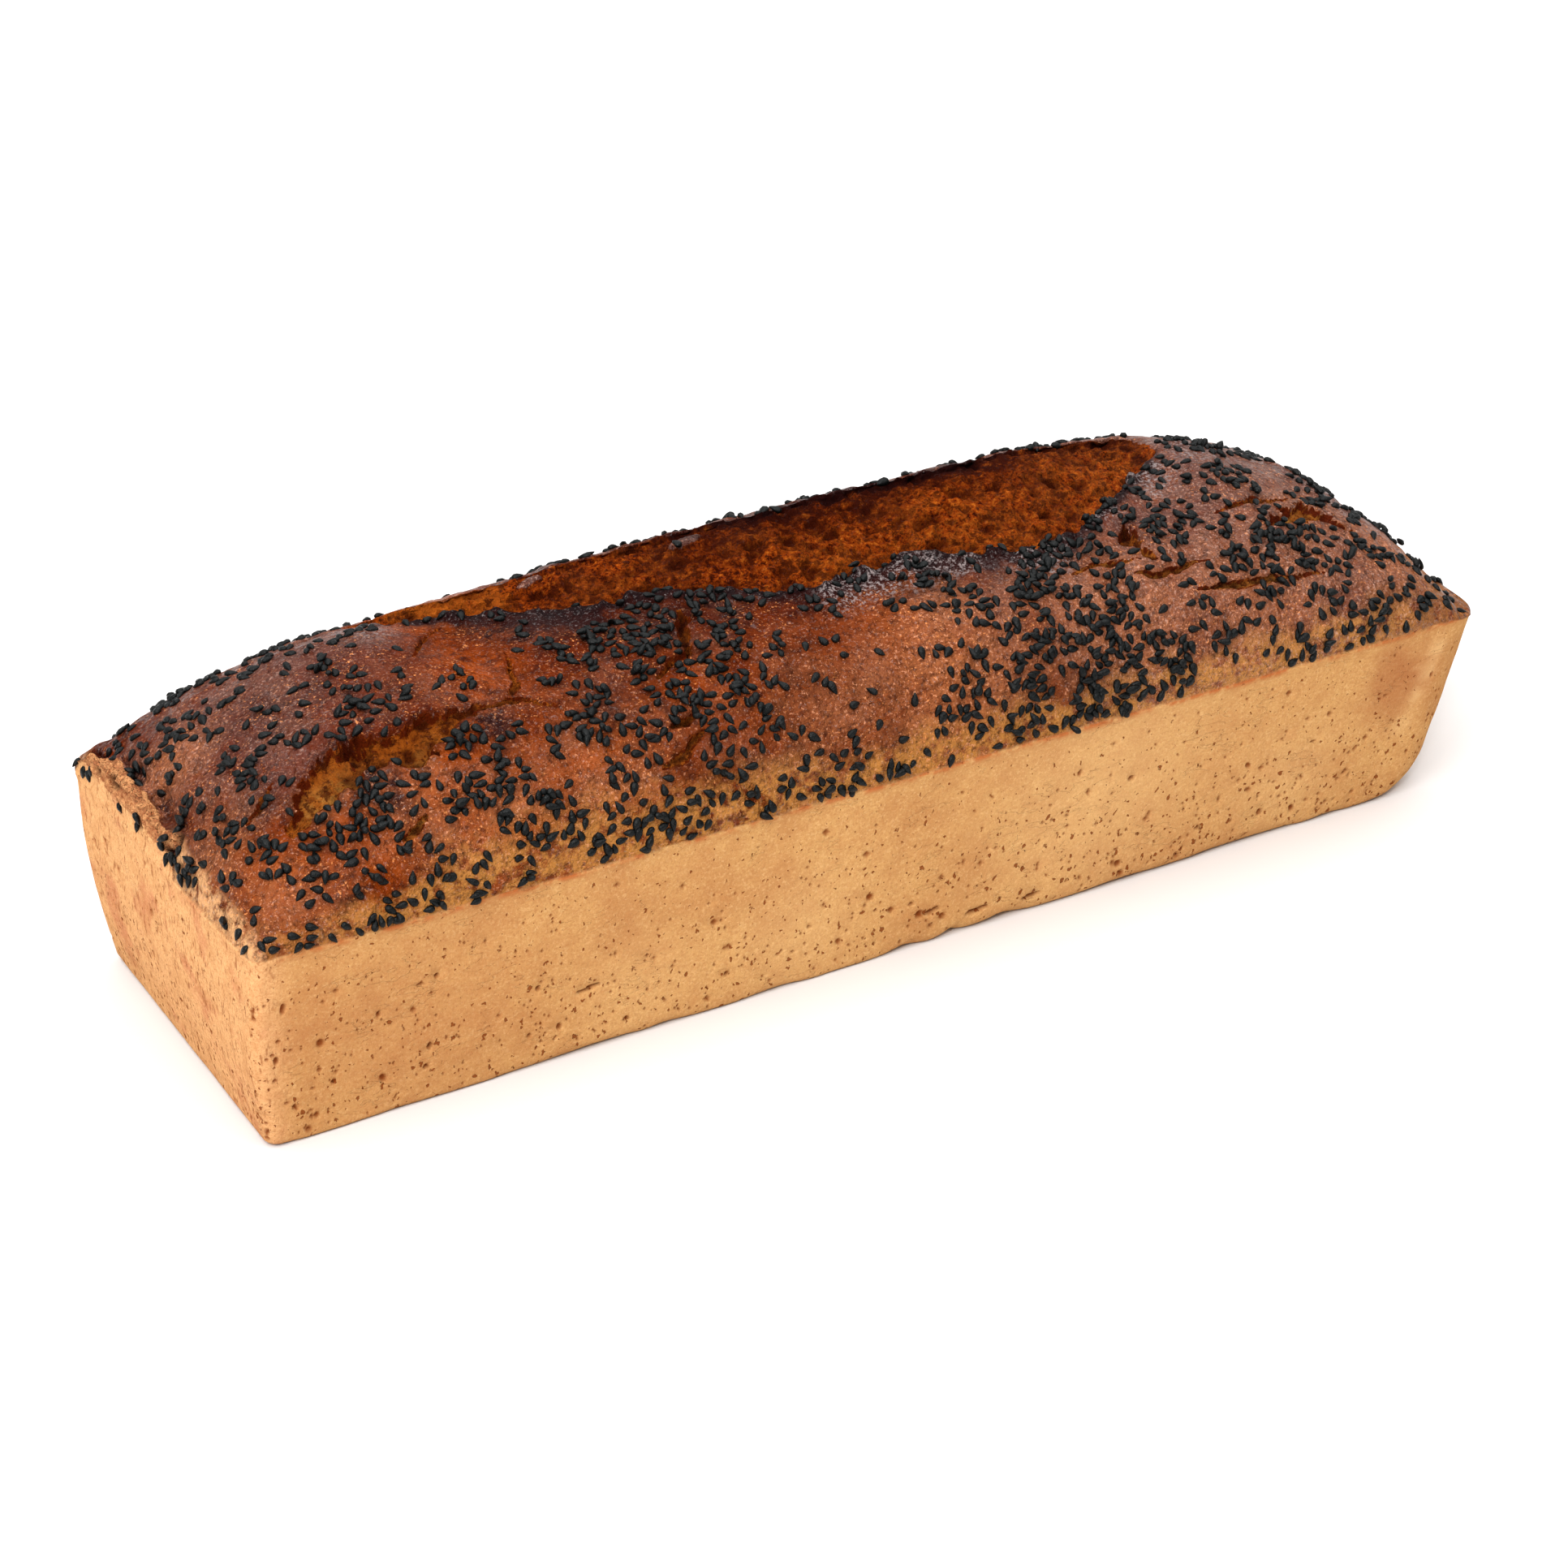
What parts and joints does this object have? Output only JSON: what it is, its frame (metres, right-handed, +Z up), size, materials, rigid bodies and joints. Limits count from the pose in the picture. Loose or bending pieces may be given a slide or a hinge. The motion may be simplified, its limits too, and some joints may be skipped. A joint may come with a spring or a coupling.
{
  "type": "rye bread loaf",
  "caption": "Long tin-baked rye loaf with flat flared walls, a domed seeded crust torn open lengthwise along the top, and a flat base to stand on.",
  "frame": {"origin": "on the surface the loaf stands on, under the middle of its rim", "axes": "+X along the loaf's length, +Y across it to the side behind the long tear, +Z up"},
  "size_m": [0.3077, 0.0945, 0.0797],
  "materials": {
    "crust": "golden tan baked walls, glossy red-brown domed crust",
    "seeds": "matt black seed coats"
  },
  "bodies": {
    "root": {"loaf": "crust"}
  },
  "joints": []
}
